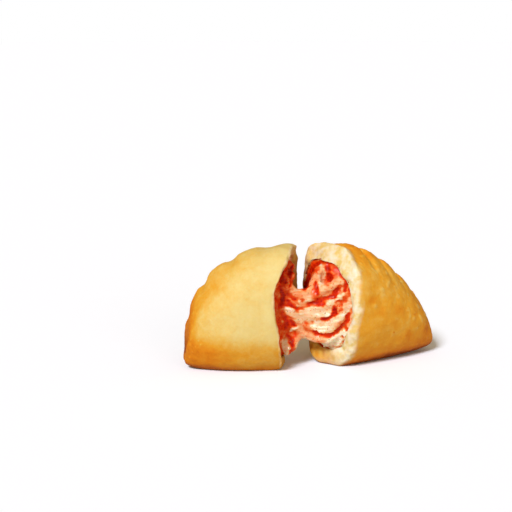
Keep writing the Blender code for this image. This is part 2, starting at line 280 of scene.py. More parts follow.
# Strands of stretched cheese and ribbons of sauce, each by the points that it hangs through from the right
# half to the left one, with its radius where it hangs
STRANDS = (
    (((4.0, -4.5, 42.0), (0.0, -7.0, 35.0), (-6.0, -8.5, 32.0), (-10.0, -9.0, 35.0),
      (-11.5, -9.0, 38.5)), 2.0),
    (((11.5, -10.0, 36.5), (6.0, -10.0, 35.0), (-3.0, -8.5, 30.0), (-10.5, -9.5, 33.0)), 2.0),
    (((11.0, -9.0, 34.0), (5.5, -8.5, 31.0), (-2.0, -7.0, 27.5), (-10.0, -8.5, 27.0)), 2.2),
    (((13.0, -11.0, 31.5), (7.0, -10.5, 28.5), (-2.0, -8.5, 26.0), (-11.0, -10.0, 30.5)), 1.9),
    (((13.0, -11.0, 27.5), (9.0, -10.5, 24.0), (-2.0, -8.5, 23.0), (-12.0, -10.5, 27.0)), 2.4),
    (((13.0, -11.0, 24.0), (7.0, -10.0, 17.0), (-3.0, -8.5, 18.5), (-12.0, -10.5, 24.5)), 2.5),
    (((12.5, -10.0, 21.5), (8.5, -9.5, 16.0), (2.0, -8.0, 14.5), (-6.0, -7.0, 18.0),
      (-12.0, -9.0, 18.0)), 2.0),
    (((11.5, -9.5, 17.0), (6.0, -10.0, 13.0), (-3.5, -8.5, 15.0), (-12.0, -10.5, 21.5)), 2.0),
    (((7.5, -4.5, 33.0), (0.0, -3.5, 28.0), (-6.0, -3.5, 27.0), (-11.5, -5.5, 30.0)), 3.6),
    (((7.5, -5.5, 24.0), (1.0, -4.5, 21.5), (-5.0, -4.5, 21.5), (-11.5, -6.5, 24.0)), 4.4),
    (((6.5, -5.5, 15.0), (1.0, -5.0, 16.0), (-5.0, -5.5, 17.0), (-11.5, -7.0, 15.0)), 3.2),
    (((-2.0, -7.5, 16.5), (-7.0, -8.5, 13.0), (-10.8, -10.4, 8.0), (-14.0, -8.5, 8.5)), 2.3),
)

# A strand is a little thinner where it leaves each half, and its root runs on towards the heart of the half
STRAND_NECK = 0.85
STRAND_ROOT = 7.0
HEART_DEPTH = 14.0
HEART_HEIGHT = 24.0

# Lumps of filling: place and radius
LUMPS = (
    ((10.5, -10.5, 26.5), 3.0),
    ((9.0, -6.6, 40.5), 2.4),
    ((-11.0, -8.5, 19.5), 2.8),
    ((-12.0, -10.0, 35.5), 2.6),
    ((-11.2, -9.8, 8.4), 2.8),
    ((-9.6, -7.2, 39.6), 2.4),
    ((-9.8, -2.4, 42.6), 2.4),
)

# Marbling, as bands in an upright plane across the open side. They run back into the filling along a slope,
# so that any part of it shows them. The edge is soft, the taper thins a band towards its ends, and the reach
# is how far round a band's box the points that it may cover are looked for.
PLANE_DEPTH = -11.0
SLOPE_RIGHT = 0.05
SLOPE_DOWN = 0.25
BAND_EDGE = 0.6
BAND_TAPER = 0.45
BAND_REACH = 4.0

# Each band has its share of sauce, its half width and the points that it runs through
CHEESE_BANDS = (
    (0.10, 1.0, ((3.2, 44.8), (4.3, 42.2), (3.7, 39.6), (2.5, 38.3))),
    (0.33, 1.1, ((1.2, 41.3), (-0.3, 38.3), (-1.5, 35.2), (-2.1, 32.2))),
    (0.25, 1.2, ((3.3, 36.5), (5.9, 34.8), (8.0, 35.7), (10.1, 37.6), (12.2, 37.4))),
    (0.30, 0.9, ((3.8, 33.9), (5.9, 32.8), (8.0, 33.9))),
    (0.12, 0.7, ((13.5, 33.1), (11.5, 31.1), (9.8, 29.6), (6.8, 28.7))),
    (0.22, 0.7, ((15.7, 31.3), (15.3, 29.6), (13.6, 27.4), (12.8, 26.5))),
    (0.12, 1.2, ((15.8, 27.4), (13.3, 24.3), (10.7, 21.9), (7.8, 20.3), (4.0, 19.9), (0.5, 20.3))),
    (0.14, 2.2, ((-4.6, 24.7), (-1.2, 24.7), (2.2, 25.0), (5.6, 25.2))),
    (0.22, 1.5, ((3.6, 44.0), (3.3, 40.4), (2.9, 37.0), (4.2, 34.0))),
    (0.20, 1.3, ((-11.4, 25.8), (-9.7, 24.5), (-7.1, 23.0), (-4.2, 22.1), (-0.7, 22.3))),
    (0.10, 1.4, ((0.1, 18.4), (3.1, 17.3), (6.1, 16.9), (8.7, 17.9))),
    (0.25, 1.0, ((-4.9, 15.5), (-1.9, 14.2), (1.1, 13.0), (4.1, 12.4), (7.0, 12.8))),
    # Partly painted light: white cheese on the lower right, where the filling faces down into shade, painted
    # at the whitest and widest to lift it
    (0.0, 2.0, ((5.4, 10.2), (7.5, 11.3), (10.0, 12.2), (12.1, 14.2), (13.8, 16.4))),
    (0.33, 1.1, ((-8.9, 33.9), (-7.2, 32.5), (-4.7, 32.1), (-2.1, 31.5))),
    (0.28, 1.4, ((-6.3, 20.3), (-5.4, 18.1), (-4.1, 15.5))),
    (0.35, 0.7, ((-5.8, 14.6), (-6.8, 12.8), (-7.9, 10.6))),
    (0.55, 0.5, ((-15.5, 34.4), (-15.9, 31.3), (-15.7, 27.8), (-14.8, 24.7), (-14.2, 22.1))),
    (0.58, 0.5, ((-11.5, 34.4), (-11.4, 31.3), (-10.8, 28.7))),
    (0.14, 1.6, ((-12.4, 11.9), (-11.2, 9.5), (-11.4, 6.9))),
    (0.10, 0.5, ((-10.1, 48.4), (-11.1, 47.4))),
    (0.50, 0.5, ((-13.1, 16.4), (-11.3, 15.5))),
)
# Painted highlights: small white marks on the wet filling where it glints, each with its share of sauce, half
# width and points
PAINTED_GLINT_BANDS = (
    (0.0, 0.35, ((-11.4, 26.7), (-9.7, 26.1), (-8.2, 25.2))),
    (0.0, 0.4, ((-9.6, 16.4), (-8.4, 17.3), (-6.7, 17.7))),
    (0.0, 0.35, ((-6.1, 30.0), (-5.7, 30.0))),
)
SAUCE_BANDS = (
    (0.92, 0.9, ((3.2, 46.5), (1.1, 45.8), (-0.1, 44.3), (-1.2, 42.2))),
    (1.00, 1.0, ((-1.8, 41.3), (-2.4, 39.1), (-3.2, 36.5), (-3.6, 34.4))),
    (0.75, 0.7, ((3.2, 46.5), (5.3, 46.5), (7.4, 46.1))),
    (0.88, 1.1, ((6.4, 45.2), (6.2, 42.6))),
    (0.93, 1.4, ((6.9, 41.3), (6.9, 38.7))),
    (0.80, 1.0, ((8.7, 44.3), (10.4, 42.4), (12.2, 40.0))),
    (0.86, 0.8, ((10.8, 45.0), (12.5, 42.6), (13.6, 40.4), (14.4, 38.3), (13.9, 36.1), (13.5, 33.9))),
    (0.65, 0.4, ((15.4, 35.2), (15.5, 31.7))),
    (0.88, 0.8, ((1.4, 37.4), (1.4, 35.2), (1.9, 32.6))),
    (0.86, 1.1, ((10.6, 34.8), (9.7, 33.3), (8.7, 31.7), (6.8, 30.9))),
    (0.86, 0.8, ((6.8, 30.9), (4.3, 30.4), (2.1, 29.4), (0.0, 28.8), (-2.1, 28.4))),
    (0.86, 0.6, ((1.3, 28.1), (3.4, 28.0), (5.1, 28.1))),
    (0.95, 1.1, ((9.4, 26.9), (9.0, 25.2), (8.4, 23.9))),
    (0.90, 0.6, ((10.1, 23.9), (7.8, 22.5), (5.6, 21.8), (3.9, 21.5))),
    (0.62, 0.4, ((9.8, 29.1), (11.9, 29.6), (12.4, 27.4))),
    (0.65, 0.6, ((12.9, 31.1), (14.2, 29.8))),
    (0.60, 0.4, ((10.9, 25.2), (12.2, 26.1))),
    (0.82, 1.0, ((15.3, 23.9), (14.6, 21.4), (13.8, 20.3))),
    (0.80, 0.8, ((13.3, 19.9), (12.1, 18.1), (10.4, 16.4), (8.7, 15.3), (6.6, 14.6), (4.5, 14.8),
                 (2.3, 15.3))),
    (0.85, 0.8, ((2.3, 15.4), (0.5, 16.1))),
    (0.72, 0.5, ((13.8, 19.0), (14.2, 16.8))),
    (0.55, 0.4, ((12.6, 14.4), (13.2, 13.5))),
    (0.78, 0.8, ((2.8, 10.4), (4.5, 8.6))),
    (0.60, 0.4, ((-3.3, 20.3), (-2.0, 19.5))),
    (0.60, 0.3, ((-0.3, 20.8), (0.6, 19.9))),
    (0.96, 0.9, ((-12.3, 42.4), (-13.3, 40.0), (-13.7, 37.8))),
    (0.94, 0.8, ((-13.8, 35.7), (-12.9, 32.6), (-12.7, 30.0), (-13.2, 26.9))),
    (1.00, 0.8, ((-9.2, 44.8), (-9.8, 42.0), (-9.6, 39.6))),
    (0.85, 0.6, ((-9.8, 38.3), (-10.2, 35.7))),
    (0.68, 0.6, ((-10.9, 46.3), (-11.9, 43.9))),
    (0.82, 0.5, ((-10.8, 32.8), (-9.3, 30.7), (-7.4, 30.4))),
    (0.66, 0.6, ((-5.5, 30.2), (-4.0, 29.8))),
    (0.88, 0.7, ((-10.8, 29.8), (-9.3, 27.9), (-7.4, 26.7), (-5.5, 26.5))),
    (0.66, 0.4, ((-5.5, 26.5), (-3.8, 25.8))),
    (0.86, 0.8, ((-12.0, 22.5), (-10.9, 20.1), (-11.4, 17.7))),
    (0.95, 0.8, ((-9.5, 20.6), (-7.7, 18.8))),
    (0.90, 0.8, ((-10.9, 14.6), (-9.2, 12.8), (-8.8, 10.8), (-8.4, 9.3))),
    (0.72, 0.5, ((-7.9, 15.9), (-7.3, 14.2))),
    (0.80, 0.5, ((-15.3, 31.5), (-15.2, 29.8))),
    (0.75, 0.5, ((-14.4, 22.5), (-13.7, 19.9), (-13.5, 17.3))),
    (0.86, 0.6, ((-12.6, 5.7), (-11.9, 4.1))),
)
STREAK_BANDS = (
    (0.42, 0.35, ((-10.6, 31.1), (-8.5, 29.2), (-5.9, 28.3), (-2.9, 27.8))),
    (0.50, 0.5, ((-11.3, 40.4), (-10.6, 37.8), (-11.2, 35.7), (-10.2, 34.1))),
    (0.45, 0.25, ((8.0, 44.8), (9.5, 42.6), (10.5, 40.6))),
    (0.40, 0.3, ((7.8, 42.4), (8.9, 40.2), (9.3, 38.4))),
)


def power(value, exponent):
    """Signed power, the building block of a superellipse."""
    return np.sign(value) * np.abs(value) ** exponent


def hump(value, centre, spread):
    """A rounded hump, 1 at its centre."""
    return np.exp(-((value - centre) / spread) ** 2)


def nearness(grid, place, radius):
    """How near each point lies to a place: 1 there, about a third at the radius."""
    return hump(np.linalg.norm(grid - np.array(place), axis=-1), 0.0, radius)


def ease(value, low, high):
    """A smooth step from 0 at low to 1 at high."""
    share = np.clip((value - low) / (high - low), 0.0, 1.0)
    return share * share * (3 - 2 * share)


def ripples(points, size, seed):
    """Smooth noise, about -1 to 1, with features of a size in millimetres."""
    shift = Vector((7.3 * seed, -3.1 * seed, 5.7 * seed))
    flat = points.reshape(-1, 3) / size
    values = [noise.noise(Vector(point) + shift) for point in flat.tolist()]
    return 1.6 * np.array(values).reshape(points.shape[:-1])


def layered(points, layers, seed):
    """Unevenness in millimetres, from layers that each have a height and a size."""
    return sum(height * ripples(points, size, seed + index) for index, (height, size) in enumerate(layers))


def outline(half, turn, inside):
    """Distance along, lowest and highest point of the skin, or of the cavity where inside is 1.

    The turn goes from 0 at the tear to a right angle at the tip.
    """
    length = half.length - inside * TIP_WALL
    low = inside * half.floor - (1 - inside) * FLAT_DEPTH
    high = half.height - inside * half.roof
    tip = half.tip_height + inside * half.floor / 2
    along = length * np.sin(turn) ** (2 / half.outline_power)
    top = tip + (high - tip) * np.cos(turn) ** (2 / half.outline_power)
    bottom = tip + (low - tip) * np.cos(turn) ** (2 / half.base_power)
    return along, bottom, top


def section(half, turns, inside):
    """Rings of the skin or the cavity as local distances along, across and up, one row for each turn."""
    along, bottom, top = (value[:, None] for value in outline(half, turns, inside))
    width = (HALF_THICKNESS - inside * half.wall) * np.cos(turns)[:, None] ** (2 / TIP_ROUNDNESS)
    middle = bottom + WIDEST_AT * (top - bottom)
    upper = np.sin(ROUND) >= 0
    shape = np.where(upper, TOP_POWER - TOP_NARROWING * np.sqrt(np.sin(turns))[:, None], half.fold_power)
    reach = np.where(upper, top - middle, middle - bottom)
    across = width * power(np.cos(ROUND), 2 / shape)
    return along + 0 * across, across, middle + reach * power(np.sin(ROUND), 2 / shape)


def towards_tip(turns):
    """How much of the torn edge's unevenness is left at each turn."""
    return (1 - np.sin(turns) ** 0.8)[:, None]


def tip_point(half, inside, back):
    """The point that closes the skin, or the cavity where inside is 1, a little back from its very tip."""
    along, bottom, top = outline(half, math.pi / 2, inside)
    return half.place(np.array([along - back]), np.array([0.0]), np.array([(bottom + top) / 2]))[0]


def skin_grid(half):
    """Rings of the skin from the tear to the tip, with scallops along the ridge."""
    turns = np.linspace(0.0, LAST_TURN, SKIN_RINGS) * math.pi / 2
    ridge_along, _, ridge_up = outline(half, turns, 0)
    edge = np.concatenate([[0.0], np.cumsum(np.hypot(np.diff(ridge_along), np.diff(ridge_up)))])
    waves = 0.5 + 0.5 * np.cos(2 * math.pi * (edge - half.first_notch) / half.pitch)
    notch = (waves ** SCALLOP_SHARPNESS)[:, None]
    crest = hump(ROUND, RIDGE, CREST_SPREAD)
    flank = hump(np.abs(ROUND - RIDGE), DENT_OFFSET, DENT_SPREAD)
    along, across, up = section(half, turns, 0)
    along = along + towards_tip(turns) * half.torn_edge(half.skin_line)
    inward = half.notch_depth * notch * crest
    lean_out = np.sin(turns)[:, None]
    along = along - inward * lean_out
    up = up - inward * np.cos(turns)[:, None] - half.sag * (1 - lean_out) * crest
    across = across * (1 - CRIMP_DENT * notch * flank)
    return half.place(along, across, np.maximum(up, 0.0))


def cavity_grid(half, count, gap):
    """Rings of the cavity, or of what fills it, from the tear to the blind end."""
    turns = np.linspace(0.0, LAST_CAVITY_TURN, count) * math.pi / 2
    along, across, up = section(half, turns, 1)
    along = along + towards_tip(turns) * half.torn_edge(half.crumb_line)
    middle = (up.max(axis=1) + up.min(axis=1))[:, None] / 2
    across = across * (1 - gap / across.max(axis=1)[:, None])
    up = middle + (up - middle) * (1 - gap / (up.max(axis=1)[:, None] - middle))
    return half.place(along, across, up)


def rim_grid(half, skin, mouth):
    """Rings of torn crumb between the skin's edge and the cavity's mouth."""
    rings = []
    for step in range(1, RIM_RINGS + 1):
        share = step / (RIM_RINGS + 1)
        ragged = RIM_RAGGED * np.sin(7 * ROUND + 3 * share + half.phase)
        bulge = math.sin(math.pi * share) * (half.swell + ragged)
        rings.append(skin + share * (mouth - skin) - np.multiply.outer(bulge, half.axis))
    return np.array(rings)


def grid_normals(grid):
    """Unit normals of a grid of rings that is closed all round."""
    along = np.gradient(grid, axis=0)
    around = np.roll(grid, -1, axis=1) - np.roll(grid, 1, axis=1)
    normals = np.cross(along, around)
    return normals / np.maximum(np.linalg.norm(normals, axis=2, keepdims=True), 1e-9)


def closed_mesh(name, grid, start, end):
    """A closed mesh through a grid of rings, each end closed at a point."""
    rings, count = grid.shape[:2]
    points = np.concatenate([[start], grid.reshape(-1, 3), [end]])
    row = 1 + count * np.arange(rings - 1)[:, None]
    here = np.arange(count)
    beside = (here + 1) % count
    corners = [row + here, row + beside, row + count + beside, row + count + here]
    quads = np.stack(corners, axis=-1).reshape(-1, 4)
    last = 1 + (rings - 1) * count
    fans = [(0, 1 + b, 1 + a) for a, b in zip(here, beside)]
    fans += [(last + a, last + b, len(points) - 1) for a, b in zip(here, beside)]
    mesh = bpy.data.meshes.new(name)
    mesh.from_pydata((points * MM).tolist(), [], quads.tolist() + fans)
    face_outwards(mesh)
    mesh.shade_smooth()
    return mesh


def face_outwards(mesh):
    """Turns every face of a closed mesh outwards."""
    work = bmesh.new()
    work.from_mesh(mesh)
    bmesh.ops.recalc_face_normals(work, faces=work.faces)
    if work.calc_volume(signed=True) < 0:
        bmesh.ops.reverse_faces(work, faces=work.faces)
    work.to_mesh(mesh)
    work.free()


def add_object(name, mesh, finish):
    thing = bpy.data.objects.new(name, mesh)
    bpy.context.scene.collection.objects.link(thing)
    mesh.materials.clear()
    mesh.materials.append(finish)
    return thing


def add_values(mesh, name, values):
    """Stores one number for each vertex, for the material to read."""
    attribute = mesh.attributes.new(name, "FLOAT", "POINT")
    attribute.data.foreach_set("value", np.ascontiguousarray(values, dtype=np.float32))


def vertex_points(mesh):
    """The places of a mesh's vertices in millimetres."""
    values = np.empty(3 * len(mesh.vertices))
    mesh.vertices.foreach_get("co", values)
    return values.reshape(-1, 3) / MM


def move_out(mesh, distance):
    """Moves every vertex along its normal by a distance in millimetres, one for all or one for each."""
    points = vertex_points(mesh)
    normals = np.empty(3 * len(mesh.vertices))
    mesh.vertex_normals.foreach_get("vector", normals)
    points = points + normals.reshape(-1, 3) * np.broadcast_to(distance, len(points))[:, None]
    mesh.vertices.foreach_set("co", (points * MM).ravel())
    mesh.update()


def evaluated_mesh(thing):
    """A new mesh of an object with its modifiers, or its curve's bevel, applied."""
    bpy.context.view_layer.update()
    return bpy.data.meshes.new_from_object(thing.evaluated_get(bpy.context.evaluated_depsgraph_get()))


def share_along(half, grid):
    """How far along its half each point lies, from 0 at the tear to 1 at the tip."""
    return (grid - half.tear) @ half.axis / half.length


def browning_and_shade(half, grid):
    """How deeply the skin is browned, from 0 for pale yellow to 1 for deep amber.

    The face browns towards the tip and the ridge, and a band along the fold is darker still: partly real
    browning, partly painted shade where the underside turns away from the light. The last few millimetres
    above the table are darkened more, as painted contact shade. The right half is browner all over.
    """
    along = share_along(half, grid)
    height = grid[..., 2]
    slow = ripples(grid, 16.0, 31)
    fine = ripples(grid * np.array([1.0, 1.0, 1.5]), 5.0, 37)
    ridge = ease(height / (half.height * np.sqrt(np.clip(1 - along ** 2, 0.02, 1))), 0.8, 1.02)
    if half is LEFT:
        face = 0.16 + 0.12 * ease(along, 0.4, 0.8) + 0.41 * ease(along, 0.8, 1.02)
        face = face + ridge * (0.07 + 0.12 * ease(along, 0.1, 0.5))
        # The band along the fold: partly real browning, partly painted shade on the underside
        low = 1 - ease(height + 0.5 * slow, 9.0, 18.5)
        band = (0.36 + 0.06 * ease(along, 0.4, 0.8) - 0.3 * ease(along, 0.82, 1.0)) * low
        # Painted contact shade: darker in the last few millimetres above the table
        band = band + 0.22 * (1 - ease(height, 0.3, 4.0))
        uneven = 0.04 * slow + 0.02 * fine
    else:
        face = 0.49 + 0.11 * ease(along, 0.3, 1.0) + 0.16 * ridge
        # The band along the fold, partly painted shade, then painted contact shade in the last few
        # millimetres above the table
        band = 0.1 * (1 - ease(height + 1.5 * slow, 4.0, 18.0)) + 0.4 * (1 - ease(height, 0.5, 6.0))
        uneven = 0.06 * slow + 0.05 * fine
    marks = sum(amount * nearness(grid, place, radius) for place, radius, amount in BROWN_MARKS)
    return np.clip(face + band + marks + uneven, 0.0, 1.0)


def blisters(half, grid):
    """Small raised bubbles of the skin, 0 to 1: the listed ones, and fine ones, most of them high or far."""
    listed = sum(nearness(grid, place, radius) for place, radius in BLISTER_BUMPS_AND_HIGHLIGHTS)
    high_or_far = ease(grid[..., 2] / half.height + share_along(half, grid), 0.8, 1.2)
    fine_share = (0.75 if half is RIGHT else 0.3) * (0.35 + 0.65 * high_or_far)
    fine = ease(ripples(grid, BLISTER_SIZE, 51), 0.45, 0.85) * fine_share
    return np.clip(listed + fine, 0.0, 1.0)


def round_edge(grid, edge):
    """Rounds off the torn edge, by moving each ring near it towards its neighbours again and again."""
    first = edge - EDGE_ROWS
    last = edge + RIM_RINGS - 2
    for _ in range(EDGE_ROUNDING):
        grid[first:last] = (grid[first - 1:last - 1] + 2 * grid[first:last] + grid[first + 1:last + 1]) / 4


def crust(half, finish):
    """Skin, torn rim and cavity of one half, in one closed piece."""
    skin = skin_grid(half)
    cavity = cavity_grid(half, CAVITY_RINGS, 0.0)
    rim = rim_grid(half, skin[0], cavity[0])
    grid = np.concatenate([skin[::-1], rim, cavity])
    edge = len(skin)
    round_edge(grid, edge)

    # Pale crumb starts near the torn edge, along a wandering line
    travel = np.linalg.norm(np.diff(grid, axis=0), axis=2)
    travel = np.concatenate([np.zeros((1, AROUND)), np.cumsum(travel, axis=0)])
    past_edge = travel - travel[edge]
    wander = (1.1 * ripples(grid, 7.0, 3) + 0.5 * ripples(grid, 2.2, 4)) * half.crumb_width / 4
    crumb = ease(past_edge + wander, half.crumb_start, half.crumb_start + half.crumb_width)

    # Relief, along normals that point out of the dough
    normals = grid_normals(grid)
    middle = half.tear + half.axis * half.length / 3 + UP * half.height / 2
    if np.sum(normals[edge // 2] * (grid[edge // 2] - middle)) < 0:
        normals = -normals
    bubbles = blisters(half, grid) * (1 - crumb)
    relief = (1 - crumb) * layered(grid, SKIN_RELIEF, 11) + crumb * layered(grid, CRUMB_RELIEF, 21)
    relief = relief + BLISTER_HEIGHT * bubbles
    fade = np.ones(len(grid))
    fade[:FADE_RINGS] = np.linspace(0.0, 1.0, FADE_RINGS)
    fade[-FADE_RINGS:] = fade[:FADE_RINGS][::-1]
    relief = (relief - SETTLE) * ease(grid[..., 2], *TABLE_TOUCH) * fade[:, None]
    moved = grid + normals * relief[..., None]
    moved[..., 2] = np.maximum(moved[..., 2], 0.0)
    mesh = closed_mesh(half.name, moved, tip_point(half, 0, SETTLE), tip_point(half, 1, BLIND_END))

    # What the material reads; each end point takes the mean of the ring beside it. The first holds the
    # browning with painted shade and painted highlights in it.
    values = {
        # Paler skin on the blisters, partly a painted highlight
        "bake_and_painted_light": browning_and_shade(half, grid) - BLISTER_PALENESS_AND_HIGHLIGHT * bubbles,
        "crumb": crumb,
        "bare": ease(past_edge, -8.0, -1.0),
        "stain": crumb * half.stain,
        "bubble": bubbles,
    }
    for name, amount in values.items():
        add_values(mesh, name, np.concatenate([[amount[0].mean()], amount.ravel(), [amount[-1].mean()]]))
    return add_object(half.name + "_dough", mesh, finish)


def plug(half):
    """The filling of one half: it runs back to the blind end and bulges out a little at the mouth.

    The cavity's first ring moves in to the mouth's sunk edge. The second is left out, as it lies about there.
    """
    rings = cavity_grid(half, PLUG_RINGS, -PLUG_OVERLAP)[:, ::PLUG_STEP]
    mouth = rings[0] + np.multiply.outer(half.recess[::PLUG_STEP] + EDGE_SINK, half.axis)
    middle = mouth.mean(axis=0)
    bulge = MOUTH_BULGE + EDGE_SINK
    caps = []
    for step in range(1, CAP_RINGS + 1):
        share = step / (CAP_RINGS + 1)
        caps.append(middle + share * (mouth - middle) - bulge * (1 - share ** BULGE_POWER) * half.axis)
    grid = np.array(caps + [mouth] + list(rings[2:]))
    return closed_mesh("plug", grid, middle - bulge * half.axis, tip_point(half, 1, BLIND_END))


def strand_root(point, half):
    """A point inside the half that a strand heads for."""
    heart = half.place(np.array([HEART_DEPTH]), np.array([0.0]), np.array([HEART_HEIGHT]))[0]
    return point + STRAND_ROOT * (heart - point) / np.linalg.norm(heart - point)


def strand(points, radius):
    """A smooth tube through the points, a little thinner where it leaves each half."""
    points = [np.array(point) for point in points]
    points = [strand_root(points[0], RIGHT)] + points + [strand_root(points[-1], LEFT)]
    shape = bpy.data.curves.new("strand", "CURVE")
    shape.dimensions = "3D"
    shape.resolution_u = 12
    shape.bevel_depth = radius * MM
    shape.bevel_resolution = 5
    shape.use_fill_caps = True
    line = shape.splines.new("BEZIER")
    line.bezier_points.add(len(points) - 1)
    for index, (knot, point) in enumerate(zip(line.bezier_points, points)):
        knot.co = tuple(point * MM)
        knot.handle_left_type = knot.handle_right_type = "AUTO"
        knot.radius = STRAND_NECK if index in (1, len(points) - 2) else 1.0
    tube = bpy.data.objects.new("strand", shape)
    bpy.context.scene.collection.objects.link(tube)
    mesh = evaluated_mesh(tube)
    bpy.data.objects.remove(tube)
    face_outwards(mesh)
    return mesh


def lump(place, radius):
    """A round lump of filling, before it melts together with the rest."""
    mesh = bpy.data.meshes.new("lump")
    work = bmesh.new()
    bmesh.ops.create_icosphere(work, subdivisions=3, radius=radius * MM)
    bmesh.ops.translate(work, verts=work.verts, vec=Vector(place) * MM)
    work.to_mesh(mesh)
    work.free()
    return mesh


def melted(meshes, name):
    """One smooth surface over all the meshes, with narrow gaps between them filled, as cheese runs together.

    They swell, join as one surface of small voxels, and shrink back, which leaves the narrow gaps closed.
    """
    work = bmesh.new()
    for mesh in meshes:
        move_out(mesh, MELT)
        work.from_mesh(mesh)
    joined = bpy.data.meshes.new(name)
    work.to_mesh(joined)
    work.free()
    body = bpy.data.objects.new(name, joined)
    bpy.context.scene.collection.objects.link(body)
    remesh = body.modifiers.new("melt", "REMESH")
    remesh.mode = "VOXEL"
    remesh.voxel_size = VOXEL * MM
    whole = evaluated_mesh(body)
    body.modifiers.clear()
    move_out(whole, -MELT)
    body.data = whole
    smooth = body.modifiers.new("smooth", "SMOOTH")
    smooth.factor = 0.5
    smooth.iterations = SMOOTHING
    result = evaluated_mesh(body)
    bpy.data.objects.remove(body)
    return result


def smooth_line(points, steps=8):
    """Points along a smooth line through the given ones."""
    points = np.array(points)
    ends = np.concatenate([[2 * points[0] - points[1]], points, [2 * points[-1] - points[-2]]])
    share = np.linspace(0.0, 1.0, steps, endpoint=False)[:, None]
    line = []
    for a, b, c, d in zip(ends, ends[1:], ends[2:], ends[3:]):
        cubic = share * (3 * (b - c) + d - a)
        line.append(b + 0.5 * share * (c - a + share * (2 * a - 5 * b + 4 * c - d + cubic)))
    return np.concatenate(line + [points[-1:]])


def paint(values, plane, bands):
    """Lays each band over the values of the points that lie on it."""
    for sauce, half_width, points in bands:
        line = smooth_line(points)
        inside = (plane > line.min(axis=0) - BAND_REACH) & (plane < line.max(axis=0) + BAND_REACH)
        near = np.all(inside, axis=1)
        away = np.linalg.norm(plane[near, None] - line[None], axis=2)
        nearest = away.argmin(axis=1)
        taper = 1 - BAND_TAPER * (2 * nearest / (len(line) - 1) - 1) ** 2
        cover = 1 - ease(away.min(axis=1) - half_width * taper, -0.5 * BAND_EDGE, BAND_EDGE)
        values[near] += cover * (sauce - values[near])


def marbling(points):
    """How much sauce shows at each point, from 0 for white cheese to 1 for dark sauce.

    The bands wander a little, and between them the filling is redder on the left and at the top. White
    painted highlights go on last, where the wet filling glints.
    """
    behind = points[:, 1] - PLANE_DEPTH
    plane = np.stack([points[:, 0] - SLOPE_RIGHT * behind, points[:, 2] + SLOPE_DOWN * behind], axis=1)
    for axis in range(2):
        plane[:, axis] += 0.35 * ripples(points, 2.8, 61 + axis) + 0.2 * ripples(points, 1.0, 65 + axis)
    leftward = ease(-points[:, 0], 6.0, 11.0)
    upward = ease(plane[:, 1], 33.0, 42.0) * (1 - leftward)
    clouds = ripples(points * np.array([0.5, 1.0, 1.4]), 3.0, 71)
    values = 0.34 + 0.26 * leftward + 0.24 * upward + 0.25 * clouds
    for bands in (CHEESE_BANDS, SAUCE_BANDS, STREAK_BANDS):
        paint(values, plane, bands)
    values = values + 0.09 * ripples(points * np.array([0.4, 1.0, 2.0]), 1.3, 75)
    # Last, the painted highlights: white marks where the wet filling glints
    paint(values, plane, PAINTED_GLINT_BANDS)
    return np.clip(values, 0.0, 1.0)


def filling(finish):
    """Plugs, strands and lumps melted into one piece, on which cheese stands a little above the sauce."""
    meshes = [plug(LEFT), plug(RIGHT)]
    meshes += [strand(points, radius) for points, radius in STRANDS]
    meshes += [lump(place, radius) for place, radius in LUMPS]
    mesh = melted(meshes, "filling_melt")
    points = vertex_points(mesh)
    sauce = marbling(points)
    move_out(mesh, CHEESE_RISE * (0.5 - sauce) + (0.6 + 0.8 * sauce) * layered(points, FILLING_RELIEF, 81))
    add_values(mesh, "sauce", sauce)
    mesh.shade_smooth()
    return add_object("filling_melt", mesh, finish)


def flecks(body, finish):
    """Tiny flat bits of herb, half sunk in the open side of the filling and scattered by a seeded draw."""
    draw = random.Random(FLECK_SEED)
    low, high = FLECK_REACH
    open_side = [vertex for vertex in body.data.vertices
                 if vertex.normal.y < -FLECK_FACING and low * MM < vertex.co.x < high * MM]
    flat = Matrix.Diagonal(FLECK_SHAPE)
    work = bmesh.new()
    for vertex in draw.sample(open_side, FLECK_COUNT):
        turn = vertex.normal.to_track_quat("Z", "Y").to_matrix().to_4x4()
        spin = Matrix.Rotation(draw.uniform(0.0, math.pi), 4, "Z")
        bmesh.ops.create_icosphere(work, subdivisions=1, radius=draw.uniform(*FLECK_RADIUS) * MM,
                                   matrix=Matrix.Translation(vertex.co) @ turn @ spin @ flat)
    mesh = bpy.data.meshes.new("flecks")
    work.to_mesh(mesh)
    work.free()
    mesh.shade_smooth()
    return add_object("herb_flecks", mesh, finish)


def new_material(name):
    """A material, its node tree and the node that shades it."""
    made = bpy.data.materials.new(name)
    made.use_nodes = True
    tree = made.node_tree
    return made, tree, tree.nodes["Principled BSDF"]


def attribute_node(tree, name):
    """The number that add_values stored for each vertex under a name."""
    node = tree.nodes.new("ShaderNodeAttribute")
    node.attribute_name = name
    return node.outputs["Fac"]


def noise_node(tree, size, detail, distortion=0.0):
    """Noise with features of a size in millimetres, fixed to the object."""
    place = tree.nodes.new("ShaderNodeTexCoord")
    node = tree.nodes.new("ShaderNodeTexNoise")
    node.inputs["Scale"].default_value = 1 / (size * MM)
    node.inputs["Detail"].default_value = detail
    node.inputs["Distortion"].default_value = distortion
    tree.links.new(place.outputs["Object"], node.inputs["Vector"])
    return node.outputs["Fac"]


def connect(tree, socket, value):
    """Feeds a socket from another one, or with a fixed value."""
    if isinstance(value, bpy.types.NodeSocket):
        tree.links.new(value, socket)
    else:
        socket.default_value = value


def maths(tree, operation, first, second=0.0, third=0.0, clamp=False):
    """The result of a sum on sockets or fixed values."""
    node = tree.nodes.new("ShaderNodeMath")
    node.operation = operation
    node.use_clamp = clamp
    for socket, value in zip(node.inputs, (first, second, third)):
        connect(tree, socket, value)
    return node.outputs[0]


